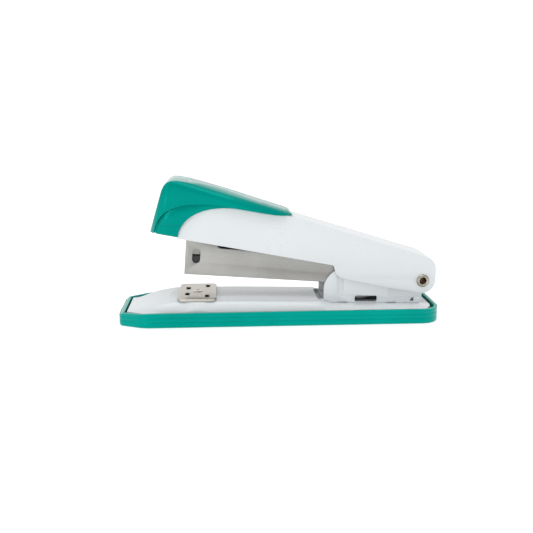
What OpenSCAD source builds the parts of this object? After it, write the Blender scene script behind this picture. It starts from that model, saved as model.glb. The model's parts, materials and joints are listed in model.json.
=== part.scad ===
// Desk stapler with a hinged top arm, a tilting staple magazine and a turning anvil.
// Origin at the centre of the underside, +X from the mouth to the hinge, +Z up.

/* [Base] */
// Length of the base
base_l = 128; // [120:1:136]
// Width of the base
base_w = 34.4; // [33:0.2:38]
// Height of the tray's rim at the sides
tray_h = 5.9; // [5.6:0.1:6.4]
// Height of the tray's rim at the front edge
tray_front_h = 5; // [4.8:0.1:5.4]
// Thickness of the tray's rim
tray_wall = 1.8; // [1.4:0.1:2.2]
// Radius of the two rear corners
rear_corner_r = 11; // [8:0.5:14]
// Length along X of the two front chamfers
chamfer_x = 10; // [6:0.5:14]
// Width along Y of the two front chamfers
chamfer_y = 4.9; // [3:0.1:6]

/* [Base plate] */
// Sheet thickness of the pressed base plate
plate_t = 0.8; // [0.6:0.1:1]
// Height of the flat top under the anvil
plate_top = 9.35; // [9.2:0.05:9.5]
// Height of the ridge where it meets the bracket
ridge_rear_z = 8.6; // [8.2:0.1:9]
// Half-width of the ridge's flat top
ridge_half_w = 11; // [10:0.1:11.4]

/* [Hinge] */
// Distance of the hinge axis behind the middle of the base
hinge_x = 57.9; // [56:0.1:59]
// Height of the hinge axis
hinge_z = 15.7; // [15.4:0.1:16]
// Shank radius of the hollow hinge rivet
eyelet_r = 1.9; // [1.6:0.1:2.2]
// Head radius of the hollow hinge rivet
eyelet_head_r = 2.55; // [2.4:0.05:3]

/* [Magazine] */
// Tilt of the magazine at rest
mag_tilt = 4.2; // [3.8:0.1:4.6]
// Outer width of the magazine channel
mag_w = 14.6; // [14.2:0.1:15]
// Distance from the hinge axis to the magazine's front face
mag_front = 96.1; // [95.6:0.1:96.4]
// Sheet thickness of the magazine
mag_t = 0.65; // [0.5:0.05:0.75]

/* [Cover] */
// Tilt of the cover at rest
cover_tilt = 10.6; // [10:0.1:11]
// Outer width of the steel cover
cover_w = 18.6; // [18.6:0.1:19.4]
// Sheet thickness of the cover
cover_t = 0.8; // [0.6:0.1:0.8]
// Outer width of the plastic cap
cap_w = 22.8; // [22:0.2:24]
// Wall thickness of the plastic cap
cap_t = 1.4; // [1.2:0.1:1.5]

/* [Anvil] */
// Distance of the anvil's pivot in front of the middle of the base
anvil_x = 33.2; // [32.8:0.1:33.6]
// Length of the anvil plate along the base
anvil_l = 15.2; // [14:0.2:16.4]
// Width of the anvil plate across the base
anvil_w = 25.4; // [22:0.2:26]
// Thickness of the anvil plate
anvil_t = 0.9; // [0.8:0.1:1.2]

/* [Hidden] */
$fn = 48;

teal = [0, 0.6, 0.52];
white = [0.92, 0.93, 0.93];
steel = [0.7, 0.7, 0.71];
nickel = [0.78, 0.76, 0.73];
black = [0.06, 0.06, 0.06];
spring_steel = [0.45, 0.46, 0.48];

// Fits: running clearance on the hinge and pivots, and side play between nested plates
run_gap = 0.05;
hinge_bore_r = eyelet_r + run_gap;

// Tray
tray_floor = 1.6;
ledge_z = 3.2;
ledge_w = 3;
pocket_inset = tray_wall + ledge_w;
button_hole_r = 5.6;
chamfer_len = norm([chamfer_x, chamfer_y]);
inset_y_per_d = (chamfer_len - chamfer_y) / chamfer_x;
inset_x_per_d = (chamfer_len - chamfer_x) / chamfer_y;

// Base plate
plate_inset = 3;
lip_z = 5.1;
dome_end_x = -44;
dome_start_x = -base_l / 2 + plate_inset;
dome_rise = plate_top - lip_z;
dome_run = dome_end_x - dome_start_x;
dome_r = (dome_run * dome_run + dome_rise * dome_rise) / (2 * dome_rise);
ridge_end_x = 14.3;
slope_start_x = -18;
flank_w = base_w / 2 - plate_inset;
boss_top_r = 13.3;
boss_bottom_r = 14.1;
shoulder_w = ridge_half_w + 1.4;
shoulder_z = lip_z + 2.9;

// Bracket
bracket_x0 = 17.8;
bracket_x1 = hinge_x - 0.5;
bracket_z0 = 6.9;
bracket_slope = 1.27;
bracket_t = 0.8;
bracket_half_w = cover_w / 2 - cover_t - 0.2;
ear_r = 4.6;
bracket_top_z = 21.2;
bracket_nose_r = 9;
web_top_z = 11;
nose_x = 15.9;
nose_r = 2.8;
rivet_xs = [45, 52];
rivet_r = 1.2;
window_x = 30.5;
window_z = 7.6;
window_l = 9.1;
window_h = 1.8;
lance_x = 53.1;
lance_z = 7;
lance_l = 1.7;
lance_h = 1.6;
bead_x = 24.4;
function deck_z(x) = bracket_z0 - (x - bracket_x0) * tan(bracket_slope);

// Anvil, its stud and its button
anvil_gap = 0.15;
anvil_z = plate_top + anvil_gap;
anvil_top = anvil_z + anvil_t;
anvil_corner = 1.6;
groove_x = 4;
groove_ys = [4.6, 7.9];
groove_size = [1.4, 3.4, 0.5];
stud_r = 1.6;
button_r = 4.8;
button_z0 = 0.9;
button_z1 = 2.6;

// Magazine, in a frame with its origin on the hinge axis and the tilt taken off
mag_bottom = -3.4;
mag_nose_top = 10.6;
mag_wall_top = 7.8;
mag_in_half = mag_w / 2 - mag_t;
mag_ear_r = 4.2;
slot_x = -91.7;
slot_z = 4.3;
slot_r = 1.6;
slot_straight = 2.8;
blade_gap_rear = -94.2;
rail_half_w = 5.7;
rail_top = 3.4;
rail_t = 0.7;
rail_front = -93.9;
rail_rear = -14;
rod_z = 0.3;
rod_r = 0.9;
pusher_l = 14;
pusher_x0 = rail_front - 0.1;
pusher_x1 = pusher_x0 + pusher_l;
rail_play = 0.15;
lug_l = 4;
lug_half_w = 1.3;
retainer_x = -16;
retainer_rivet_r = 0.9;
bush_r = eyelet_r + 0.9;
spring_turns = 16;
spring_r = 1.85;
wire_r = 0.25;

// Cover, in a frame with its origin on the hinge axis and the tilt taken off
cover_slope = 6.6;
cover_top = 9.6;
cover_front = -100;
cover_rear = 4.2;
cover_edge_r = 2;
step_x = -36.5;
skirt_bottom = -5.3;
lobe_r = 5.2;
rear_lip_z = 5;
cap_front = -111;
cap_bottom = 0.6;
cap_tip_x = -56.5;
cap_tip_z = 17.4;
cap_edge_r = 3;
cap_gap = 0.25;
blade_x = -95.3;
blade_t = 0.6;
blade_bottom = -3.6;
blade_half_w = 6;
driver_rivet_xs = [-91, -86];
driver_rivet_r = 1;
driver_head_r = 1.8;
driver_head_h = 0.5;

// Side outline of the cap, from its rounded nose along the top to its thin rear edge
cap_top = [
    [cap_front + 2.1, 18.3],
    [cap_front + 3.2, 20.7],
    [cap_front + 5, 22],
    [cap_front + 7.8, 22.4],
    [-95.6, 22.1],
    [-83, 20.9],
    [-70, 19.1],
    [cap_tip_x - 1, cap_tip_z + 0.3]
];

// Part of a superellipse from its left end to its top
function bow(cx, a, b, n, steps) = [
    for (i = [0 : steps])
        let (u = cos(90 * i / steps))
        [cx - a * u, b * pow(1 - pow(u, n), 1 / n)]
];
cap_sweep = bow(-82, 27.3, 15.2, 2.5, 12);
skirt_sweep = bow(-76, 24, 15.2, 2.2, 12);

// Places a child given in the magazine's or the cover's own frame
module in_magazine() {
    translate([hinge_x, 0, hinge_z])
        rotate([0, mag_tilt, 0])
            children();
}

module in_cover() {
    translate([hinge_x, 0, hinge_z])
        rotate([0, cover_tilt, 0])
            children();
}

// A flat XZ outline given a width along Y, centred
module slab(w, points) {
    rotate([90, 0, 0])
        linear_extrude(w, center = true)
            polygon(points);
}

// A cylinder along Y, centred, at a point of the XZ plane
module cross_pin(r, w, x = 0, z = 0) {
    translate([x, 0, z])
        rotate([90, 0, 0])
            cylinder(r = r, h = w, center = true);
}

// A box from its lowest corner and its highest corner
module block(low, high) {
    translate(low)
        cube(high - low);
}

// A strip of sheet that follows a centre line in XZ, with its thickness along Z
function strip(line, t) = concat(
    [for (p = line) p + [0, t / 2]],
    [for (i = [len(line) - 1 : -1 : 0]) line[i] - [0, t / 2]]
);

// A coil spring along Z from z0 to z1, as one swept tube
module coil(r, wire, z0, z1, turns) {
    sides = 5;
    per_turn = 12;
    rings = turns * per_turn;
    points = [
        for (i = [0 : rings], k = [0 : sides - 1])
            let (a = 360 * i / per_turn, b = 360 * k / sides)
            let (q = r + wire * cos(b))
            [q * cos(a), q * sin(a), z0 + wire + (z1 - z0 - 2 * wire) * i / rings + wire * sin(b)]
    ];
    side_faces = [
        for (i = [0 : rings - 1], k = [0 : sides - 1])
            let (m = (k + 1) % sides, a = i * sides, b = a + sides)
            each [[a + k, b + m, a + m], [a + k, b + k, b + m]]
    ];
    cap_a = [for (k = [0 : sides - 1]) k];
    cap_b = [for (k = [sides - 1 : -1 : 0]) rings * sides + k];
    polyhedron(points, concat(side_faces, [cap_a, cap_b]), convexity = 10);
}

// Plan of the base, drawn in from its edge by d
module base_outline(d) {
    half_l = base_l / 2;
    half_w = base_w / 2;
    corner_x = half_l - rear_corner_r;
    corner_y = half_w - rear_corner_r;
    front_y = half_w - chamfer_y - d * inset_y_per_d;
    side_x = -half_l + chamfer_x + d * inset_x_per_d;
    polygon([
        [-half_l + d, -front_y],
        [side_x, -half_w + d],
        [corner_x, -half_w + d],
        [corner_x, -corner_y],
        [half_l - d, -corner_y],
        [half_l - d, corner_y],
        [corner_x, corner_y],
        [corner_x, half_w - d],
        [side_x, half_w - d],
        [-half_l + d, front_y]
    ]);
    for (s = [-1, 1])
        translate([corner_x, s * corner_y])
            circle(rear_corner_r - d);
}

// Moulded tray: rim, ledge that carries the plate, and a hole under the anvil's button
module base_tray() {
    color(teal)
        difference() {
            intersection() {
                linear_extrude(tray_h)
                    base_outline(0);
                slab(base_w + 2, [
                    [-base_l, 0],
                    [base_l, 0],
                    [base_l, tray_h],
                    [-base_l / 2 + 14, tray_h],
                    [-base_l / 2, tray_front_h],
                    [-base_l, tray_front_h]
                ]);
            }
            translate([0, 0, ledge_z])
                linear_extrude(tray_h)
                    base_outline(tray_wall);
            translate([0, 0, tray_floor])
                linear_extrude(tray_h)
                    base_outline(pocket_inset);
            translate([-anvil_x, 0, -1])
                cylinder(r = button_hole_r, h = tray_h);
        }
}

// Outer form of the pressed plate, drawn in from its surface by d
module plate_form(d) {
    arc_steps = 12;
    top = plate_top - d;
    dome = [
        for (i = [0 : arc_steps])
            let (x = dome_start_x + dome_run * i / arc_steps)
            [x + d * (1 - i / arc_steps), sqrt(dome_r * dome_r - pow(x - dome_end_x, 2)) - dome_r + top]
    ];
    low = ledge_z - d * 2;
    translate([0, 0, low])
        linear_extrude(lip_z - d - low)
            base_outline(plate_inset + d);
    intersection() {
        slab(base_w, concat(
            [[dome_start_x + d, low]],
            dome,
            [
                [slope_start_x, top],
                [ridge_end_x - d, ridge_rear_z - d],
                [ridge_end_x - d, low]
            ]
        ));
        rotate([90, 0, 90])
            linear_extrude(base_l, center = true)
                polygon([
                    [-flank_w + d, low],
                    [-flank_w + d, lip_z - d],
                    [-shoulder_w + d, shoulder_z - d / 2],
                    [-ridge_half_w + d / 2, plate_top - d],
                    [ridge_half_w - d / 2, plate_top - d],
                    [shoulder_w - d, shoulder_z - d / 2],
                    [flank_w - d, lip_z - d],
                    [flank_w - d, low]
                ]);
        translate([0, 0, low])
            linear_extrude(plate_top)
                base_outline(plate_inset + d);
    }
    translate([-anvil_x, 0, lip_z - d])
        cylinder(r1 = boss_bottom_r - d, r2 = boss_top_r - d, h = plate_top - lip_z);
    intersection() {
        slab(base_w, [
            [ridge_end_x - 2 * plate_t, low],
            [ridge_end_x - 2 * plate_t, deck_z(ridge_end_x) - d],
            [base_l / 2, deck_z(base_l / 2) - d],
            [base_l / 2, low]
        ]);
        rotate([90, 0, 90])
            linear_extrude(base_l, center = true)
                polygon([
                    [-flank_w + d, low],
                    [-flank_w + d, lip_z - d],
                    [-bracket_half_w - 1, bracket_z0 - d],
                    [bracket_half_w + 1, bracket_z0 - d],
                    [flank_w - d, lip_z - d],
                    [flank_w - d, low]
                ]);
        translate([0, 0, low])
            linear_extrude(plate_top)
                base_outline(plate_inset + d);
    }
}

// Painted steel plate pressed into a long ridge with a round boss under the anvil
module base_plate() {
    color(white)
        difference() {
            plate_form(0);
            plate_form(plate_t);
            translate([-anvil_x, 0, 0])
                cylinder(r = stud_r + 0.1, h = 2 * plate_top);
            for (x = rivet_xs)
                translate([x, 0, 0])
                    cylinder(r = rivet_r, h = plate_top);
        }
}

// Plan of the bracket's round front, drawn in from its surface by d
module nose_plan(d) {
    r = nose_r - d;
    centre = [nose_x + nose_r, bracket_half_w - nose_r];
    rear = bracket_x0 + 1;
    polygon(concat(
        [[rear, -centre.y - r]],
        [for (a = [270 : -15 : 180]) [centre.x + r * cos(a), -centre.y + r * sin(a)]],
        [for (a = [180 : -15 : 90]) [centre.x + r * cos(a), centre.y + r * sin(a)]],
        [[rear, centre.y + r]]
    ));
}

// Side form of the bracket: flat floor line, round ears at the rear, round brow at the front
module bracket_form() {
    brow = [
        for (a = [90 : 10 : 180])
            [bracket_x0, bracket_top_z] + bracket_nose_r * [1 + cos(a), sin(a) - 1]
    ];
    slab(2 * bracket_half_w, [
        [bracket_x0, deck_z(bracket_x0)],
        [bracket_x1, deck_z(bracket_x1)],
        [bracket_x1, hinge_z - 3],
        [hinge_x, hinge_z + ear_r],
        each brow
    ]);
    cross_pin(ear_r, 2 * bracket_half_w, hinge_x, hinge_z);
}

// Folded bracket: two side plates with the hinge ears, a floor and a low round front
module hinge_bracket() {
    w = 2 * bracket_half_w;
    bead_z = deck_z(bracket_x0) + bracket_t + 3.3;
    color(white)
        difference() {
            union() {
                difference() {
                    bracket_form();
                    slab(w - 2 * bracket_t, [
                        [0, deck_z(0) + bracket_t],
                        [base_l, deck_z(base_l) + bracket_t],
                        [base_l, 2 * bracket_top_z],
                        [0, 2 * bracket_top_z]
                    ]);
                }
                translate([0, 0, deck_z(nose_x)])
                    linear_extrude(web_top_z - deck_z(nose_x))
                        difference() {
                            nose_plan(0);
                            nose_plan(bracket_t);
                        }
            }
            // Window and lanced slot in both side plates
            block([window_x, -w, window_z], [window_x + window_l, w, window_z + window_h]);
            block([lance_x, -w, lance_z], [lance_x + lance_l, w, lance_z + lance_h]);
            // Pressed vertical groove in the outer face of both side plates
            for (s = [-1, 1])
                translate([bead_x, s * (bracket_half_w + 0.5), bead_z])
                    cylinder(r = 0.9, h = bracket_top_z);
            cross_pin(eyelet_r, 2 * w, hinge_x, hinge_z);
            for (x = rivet_xs)
                translate([x, 0, 0])
                    cylinder(r = rivet_r, h = 10);
        }
}

// Two rivets that join the bracket's floor, the lift spring and the base plate
module bracket_rivets() {
    head_r = 2.1;
    head_h = 0.6;
    color(steel)
        for (x = rivet_xs) {
            seat = deck_z(x);
            translate([x, 0, 0]) {
                translate([0, 0, seat - plate_t - head_h - 0.1])
                    cylinder(r = head_r, h = head_h);
                translate([0, 0, seat - plate_t - 0.2])
                    cylinder(r = rivet_r, h = plate_t + bracket_t + 0.9);
                translate([0, 0, seat + bracket_t + 0.6])
                    cylinder(r = head_r, h = head_h);
            }
        }
}

// Leaf spring under the magazine: a foot riveted to the bracket's floor, with a tongue cut
// out of it and bent up
module lift_spring() {
    t = 0.4;
    seat = bracket_t + t / 2 + 0.05;
    foot_w = 14.4;
    tongue_w = 6;
    slit = 1;
    root_x = 40;
    color(spring_steel)
        difference() {
            union() {
                difference() {
                    slab(foot_w, strip([[55.5, deck_z(55.5) + seat], [21, deck_z(21) + seat]], t));
                    block([0, -tongue_w / 2 - slit, 0], [root_x, tongue_w / 2 + slit, 2 * bracket_top_z]);
                }
                slab(tongue_w, strip([
                    [root_x + 2, deck_z(root_x + 2) + seat],
                    [root_x - 2, deck_z(root_x - 2) + seat + 0.3],
                    [28, 13.2],
                    [25, 14.2],
                    [22, 14.3],
                    [20.6, 13.6]
                ], t));
            }
            for (x = rivet_xs)
                translate([x, 0, 0])
                    cylinder(r = rivet_r, h = 12);
        }
}

// Hollow rivet that is the hinge: tubular shank with a rolled head at each side
module hinge_eyelet() {
    head_h = 0.7;
    half_w = cover_w / 2 + 0.1;
    bore_r = eyelet_r - 0.55;
    color(nickel)
        translate([hinge_x, 0, hinge_z])
            rotate([90, 0, 0])
                difference() {
                    union() {
                        cylinder(r = eyelet_r, h = 2 * half_w, center = true);
                        for (s = [-1, 1])
                            translate([0, 0, s * (half_w + head_h / 2)])
                                cylinder(r = eyelet_head_r, h = head_h, center = true);
                    }
                    cylinder(r = bore_r, h = 3 * half_w, center = true);
                }
}

// Anvil: a hard plate with two pairs of clinching grooves
module anvil_plate() {
    half = [anvil_l / 2 - anvil_corner, anvil_w / 2 - anvil_corner];
    color(nickel)
        difference() {
            translate([-anvil_x, 0, anvil_z])
                linear_extrude(anvil_t) {
                    square([2 * half.x, anvil_w], center = true);
                    square([anvil_l, 2 * half.y], center = true);
                    for (sx = [-1, 1], sy = [-1, 1])
                        translate([sx * half.x, sy * half.y])
                            circle(anvil_corner);
                }
            for (s = [-1, 1], k = [0, 1])
                translate([-anvil_x + (2 * k - 1) * groove_x, s * groove_ys[k], anvil_top])
                    cube([groove_size.x, groove_size.y, 2 * groove_size.z], center = true);
            translate([-anvil_x, 0, 0])
                cylinder(r = stud_r, h = 2 * anvil_top);
        }
}

// Pivot stud, headed over the anvil and flanged under the button
module anvil_stud() {
    head_h = 0.25;
    color(nickel)
        translate([-anvil_x, 0, 0]) {
            translate([0, 0, button_z0 - 0.4])
                cylinder(r = 2.4, h = 0.35);
            translate([0, 0, button_z0 - 0.1])
                cylinder(r = stud_r, h = anvil_top - button_z0 + 0.2);
            translate([0, 0, anvil_top])
                cylinder(r = 2.2, h = head_h);
        }
}

// Push button on the stud's lower end
module anvil_button() {
    color(steel)
        translate([-anvil_x, 0, button_z0])
            difference() {
                cylinder(r = button_r, h = button_z1 - button_z0);
                translate([0, 0, -1])
                    cylinder(r = stud_r + run_gap, h = 4);
            }
}

// Coil spring between the button and the underside of the plate
module anvil_spring() {
    color(spring_steel)
        translate([-anvil_x, 0, 0])
            coil(2.5, 0.3, button_z1 + 0.02, plate_top - plate_t - 0.02, 4);
}

// Magazine: an open channel of sheet steel with the hinge ears at its rear
module magazine_channel() {
    color(steel)
        in_magazine()
            difference() {
                union() {
                    slab(mag_w, [
                        [-mag_front, mag_bottom],
                        [0, mag_bottom],
                        [0, mag_ear_r],
                        [-24, mag_wall_top - 0.6],
                        [-82, mag_wall_top],
                        [-84, mag_nose_top],
                        [-mag_front, mag_nose_top]
                    ]);
                    cross_pin(mag_ear_r, mag_w);
                }
                block(
                    [-mag_front - 1, -mag_in_half, mag_bottom + mag_t],
                    [mag_ear_r + 1, mag_in_half, mag_nose_top + 1]
                );
                // Staple exit at the front, and the floor's rear edge short of the hinge
                block([-mag_front - 1, -mag_in_half, mag_bottom - 1], [blade_gap_rear, mag_in_half, 0]);
                block([-5, -mag_in_half, -mag_ear_r - 1], [mag_ear_r + 1, mag_in_half, 0]);
                for (dz = [-1, 1])
                    cross_pin(slot_r, 2 * mag_w, slot_x, slot_z + dz * slot_straight / 2);
                block(
                    [slot_x - slot_r, -mag_w, slot_z - slot_straight / 2],
                    [slot_x + slot_r, mag_w, slot_z + slot_straight / 2]
                );
                cross_pin(hinge_bore_r, 2 * mag_w);
                translate([retainer_x - 5, 0, mag_bottom - 1])
                    cylinder(r = retainer_rivet_r, h = 3);
            }
}

// Folded insert in the magazine's nose: a front plate and two wings that guide the driver
module magazine_front() {
    t = 0.5;
    top = mag_nose_top - 0.4;
    wing_x = -86.5;
    wing_z = 4.5;
    color(steel)
        in_magazine() {
            block([-mag_front, -mag_in_half, mag_bottom], [-mag_front + 0.6, mag_in_half, top]);
            for (s = [-1, 1])
                translate([0, s * (mag_in_half - t / 2), 0])
                    block([-mag_front + 0.3, -t / 2, wing_z], [wing_x, t / 2, top]);
        }
}

// Rail that the staples ride on, with a slot for the pusher's lug
module staple_rail() {
    color(steel)
        in_magazine()
            difference() {
                block(
                    [rail_front, -rail_half_w, mag_bottom + mag_t],
                    [rail_rear, rail_half_w, rail_top]
                );
                block(
                    [rail_front + rail_t, -rail_half_w + rail_t, mag_bottom],
                    [rail_rear + 1, rail_half_w - rail_t, rail_top - rail_t]
                );
                block(
                    [rail_front + 6, -lug_half_w - 0.3, 0],
                    [rail_rear + 1, lug_half_w + 0.3, rail_top + 1]
                );
                translate([rail_front - 1, 0, rod_z])
                    rotate([0, 90, 0])
                        cylinder(r = rod_r, h = 3);
            }
}

// Rod that guides the pusher and its spring
module guide_rod() {
    color(steel)
        in_magazine()
            translate([rail_front + 0.1, 0, rod_z])
                rotate([0, 90, 0])
                    cylinder(r = rod_r, h = retainer_x + 1.4 - rail_front);
}

// Folded plate that holds the rod's rear end
module rod_retainer() {
    t = 0.7;
    w = 9.6;
    foot_z = mag_bottom + mag_t;
    color(steel)
        in_magazine()
            difference() {
                slab(w, [
                    [retainer_x - 7, foot_z],
                    [retainer_x + t, foot_z],
                    [retainer_x + t, 2.5],
                    [retainer_x, 2.5],
                    [retainer_x, foot_z + t],
                    [retainer_x - 7, foot_z + t]
                ]);
                translate([retainer_x - 1, 0, rod_z])
                    rotate([0, 90, 0])
                        cylinder(r = rod_r, h = 3);
                translate([retainer_x - 5, 0, mag_bottom - 1])
                    cylinder(r = retainer_rivet_r, h = 4);
            }
}

// Rivet that fixes the retainer to the magazine's floor
module retainer_rivets() {
    head_r = 1.5;
    head_h = 0.35;
    color(nickel)
        in_magazine()
            translate([retainer_x - 5, 0, mag_bottom]) {
                translate([0, 0, -head_h])
                    cylinder(r = head_r, h = head_h);
                translate([0, 0, -0.1])
                    cylinder(r = retainer_rivet_r, h = 1.7);
            }
}

// Spacer tube that keeps the magazine's ears apart on the hinge
module hinge_bush() {
    color(nickel)
        translate([hinge_x, 0, hinge_z])
            rotate([90, 0, 0])
                difference() {
                    cylinder(r = bush_r, h = 2 * mag_in_half - 0.1, center = true);
                    cylinder(r = hinge_bore_r, h = mag_w, center = true);
                }
}

// Compression spring on the rod, behind the pusher
module pusher_spring() {
    color(spring_steel)
        in_magazine()
            translate([0, 0, rod_z])
                rotate([0, 90, 0])
                    coil(spring_r, wire_r, pusher_x1 + run_gap, retainer_x - run_gap, spring_turns);
}

// Moulded pusher: a saddle over the rail with a lug down to the rod
module staple_pusher() {
    x0 = pusher_x0;
    x1 = pusher_x1;
    top = rail_top + 0.8;
    color(black)
        in_magazine()
            difference() {
                union() {
                    difference() {
                        block([x0, -mag_in_half + 0.2, mag_bottom + 1], [x1, mag_in_half - 0.2, top]);
                        block(
                            [x0 - 1, -rail_half_w - rail_play, mag_bottom],
                            [x1 + 1, rail_half_w + rail_play, rail_top + rail_play]
                        );
                    }
                    block([x1 - lug_l, -lug_half_w, rod_z - 1.6], [x1, lug_half_w, top - 0.1]);
                }
                translate([x0 - 1, 0, rod_z])
                    rotate([0, 90, 0])
                        cylinder(r = rod_r + run_gap, h = pusher_l + 2);
            }
}

// A section with round top corners, swept along the cover's sloping top
module top_sweep(half_w, edge, top) {
    deep = 40;
    rotate([0, cover_slope, 0])
        rotate([90, 0, 90])
            linear_extrude(260, center = true)
                translate([0, top]) {
                    translate([-half_w, -deep])
                        square([2 * half_w, deep - edge]);
                    translate([-half_w + edge, -deep])
                        square([2 * (half_w - edge), deep]);
                    for (s = [-1, 1])
                        translate([s * (half_w - edge), -edge])
                            circle(edge);
                }
}

// Outer form of the cover
module cover_form() {
    front = cover_front;
    rear = cover_rear;
    intersection() {
        union() {
            slab(cover_w, [
                [front, 0],
                [step_x, 0],
                [step_x + 1.4, -3.6],
                [step_x + 5, -4.7],
                [-14, skirt_bottom],
                [0, -lobe_r],
                [rear, -1],
                [rear, rear_lip_z + 0.8],
                [rear - 1, rear_lip_z + 3.2],
                [rear - 2.8, rear_lip_z + 4.5],
                [rear - 2.8, cap_w],
                [front, cap_w + cap_w]
            ]);
            cross_pin(lobe_r, cover_w);
        }
        top_sweep(cover_w / 2, cover_edge_r, cover_top);
    }
}

// Painted steel cover: top and two sides, with round lobes at the hinge
module top_cover() {
    color(white)
        in_cover()
            difference() {
                cover_form();
                cover_inner();
                cross_pin(hinge_bore_r, 2 * cover_w);
                for (x = driver_rivet_xs)
                    cover_bore(x);
            }
}

// Hollow of the cover, open at the bottom and the front, and at the rear below the curled lip
module cover_inner() {
    intersection() {
        top_sweep(cover_w / 2 - cover_t, cover_edge_r - cover_t, cover_top - cover_t);
        slab(cover_w, [
            [2 * cover_front, 2 * cover_front],
            [-cover_front, 2 * cover_front],
            [-cover_front, rear_lip_z],
            [cover_rear - cover_t, rear_lip_z],
            [cover_rear - cover_t - 1, rear_lip_z + 2.8],
            [cover_rear - cover_t - 2.8, rear_lip_z + 4],
            [cover_rear - cover_t - 2.8, -cover_front],
            [2 * cover_front, -cover_front]
        ]);
    }
}

// A bore or a rivet through the cover's sloping top
module on_top(x) {
    rotate([0, cover_slope, 0])
        translate([x, 0, cover_top])
            children();
}

module cover_bore(x) {
    on_top(x)
        translate([0, 0, -6])
            cylinder(r = driver_rivet_r, h = 12);
}

// Cap's outer form, cut to a side profile and drawn in from its surface by d
module cap_body(d, profile) {
    half_w = cap_w / 2 - d;
    edge = cap_edge_r - d;
    drop = cap_top[5].y - 0.1;
    intersection() {
        slab(cap_w, profile);
        translate([-83, 0, drop])
            rotate([0, 7, 0])
                rotate([90, 0, 90])
                    linear_extrude(260, center = true)
                        translate([0, 0.9 - d]) {
                            translate([-half_w, -60])
                                square([2 * half_w, 60 - edge]);
                            translate([-half_w + edge, -60])
                                square([2 * (half_w - edge), 60]);
                            for (s = [-1, 1])
                                translate([s * (half_w - edge), -edge])
                                    circle(edge);
                        }
    }
}

// Glossy moulded cap over the front of the cover
module cap_shell() {
    color(teal)
        in_cover()
            difference() {
                cap_body(0, concat(
                    [[cap_front, cap_bottom]],
                    cap_top,
                    [[cap_tip_x, cap_tip_z]],
                    [for (i = [len(cap_sweep) - 1 : -1 : 0]) cap_sweep[i] + [0, cap_bottom]]
                ));
                cap_hollow();
            }
}

// Inside of the cap: follows the cap's own wall at the front and clears the cover behind it
module cap_hollow() {
    cap_body(cap_t, [
        [cap_front + cap_t, cap_bottom - 2],
        cap_top[0] + [cap_t, -0.4],
        cap_top[1] + [cap_t, -1.2],
        each [for (i = [3 : 6]) cap_top[i] - [0, cap_t]],
        [cap_tip_x + 4, cap_tip_z - cap_t],
        [cap_tip_x + 4, cap_bottom - 2]
    ]);
    cover_clearance();
    for (x = driver_rivet_xs)
        on_top(x)
            cylinder(r = driver_head_r + cap_gap, h = driver_head_h + cap_gap);
}

// The cover's own form grown by a small gap
module cover_clearance() {
    intersection() {
        top_sweep(cover_w / 2 + cap_gap, cover_edge_r + cap_gap, cover_top + cap_gap);
        block([cover_front - 3, -cap_w, -cap_w], [0, cap_w, 2 * cap_w]);
    }
}

// Lower part of the cap: side cheeks set in a little from the shell, joined by a front web
module cap_skirt() {
    set_in = 0.9;
    web_x0 = cap_front + cap_t + 0.4;
    web_x1 = web_x0 + 1.4;
    color(teal)
        in_cover()
            difference() {
                union() {
                    cap_body(set_in, concat(
                        [for (p = cap_sweep) p + [0.35, cap_bottom]],
                        [for (i = [len(skirt_sweep) - 1 : -1 : 0]) skirt_sweep[i] + [0, cap_bottom]]
                    ));
                    cap_body(cap_t + 0.05, [
                        [web_x0, cap_bottom],
                        [web_x0 + 1, 9],
                        [web_x1 + 1, 9],
                        [web_x1 + 1, cap_bottom]
                    ]);
                }
                cap_body(cap_t + 0.9, [
                    [web_x1, -cap_w],
                    [web_x1, cap_w],
                    [0, cap_w],
                    [0, -cap_w]
                ]);
                cover_clearance();
            }
}

// Hardened blade that drives the staple, folded back under the cover's top
module driver_blade() {
    fold_z = 19.2;
    color(steel)
        in_cover()
            difference() {
                slab(2 * blade_half_w, [
                    [blade_x, blade_bottom],
                    [blade_x + blade_t, blade_bottom],
                    [blade_x + blade_t, fold_z - blade_t],
                    [-82, fold_z - blade_t - 1.6],
                    [-82, fold_z - 1.6],
                    [blade_x, fold_z]
                ]);
                for (x = driver_rivet_xs)
                    cover_bore(x);
            }
}

// Rivets that hold the blade and the return spring under the cover's top
module driver_rivets() {
    under = cover_t + blade_t + 1.6;
    color(nickel)
        in_cover()
            for (x = driver_rivet_xs)
                on_top(x) {
                    cylinder(r = driver_head_r, h = driver_head_h);
                    translate([0, 0, -under])
                        cylinder(r = driver_rivet_r, h = under + 0.1);
                    translate([0, 0, -under - 0.6])
                        cylinder(r = driver_head_r, h = 0.65);
                }
}

// Leaf spring that holds the cover up: looped round the hinge bush, its tip under the cover
module return_spring() {
    t = 0.4;
    w = 8;
    loop_r = bush_r + 0.15;
    color(spring_steel)
        in_cover()
            difference() {
                union() {
                    slab(w, strip([
                        [0, loop_r + t / 2],
                        [-10, 4.4],
                        [-35, 9.8],
                        [-54, 14.5],
                        [-58, 15.1],
                        [-61, 14.9]
                    ], t));
                    cross_pin(loop_r + t, w);
                }
                cross_pin(loop_r, 2 * w);
            }
}

base_tray();
base_plate();
hinge_bracket();
bracket_rivets();
lift_spring();
hinge_eyelet();
anvil_plate();
anvil_stud();
anvil_button();
anvil_spring();
magazine_channel();
magazine_front();
staple_rail();
guide_rod();
rod_retainer();
retainer_rivets();
hinge_bush();
pusher_spring();
staple_pusher();
top_cover();
cap_shell();
cap_skirt();
driver_blade();
driver_rivets();
return_spring();
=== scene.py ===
import json
import math

import bmesh
import bpy
from mathutils import Matrix, Vector


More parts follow.
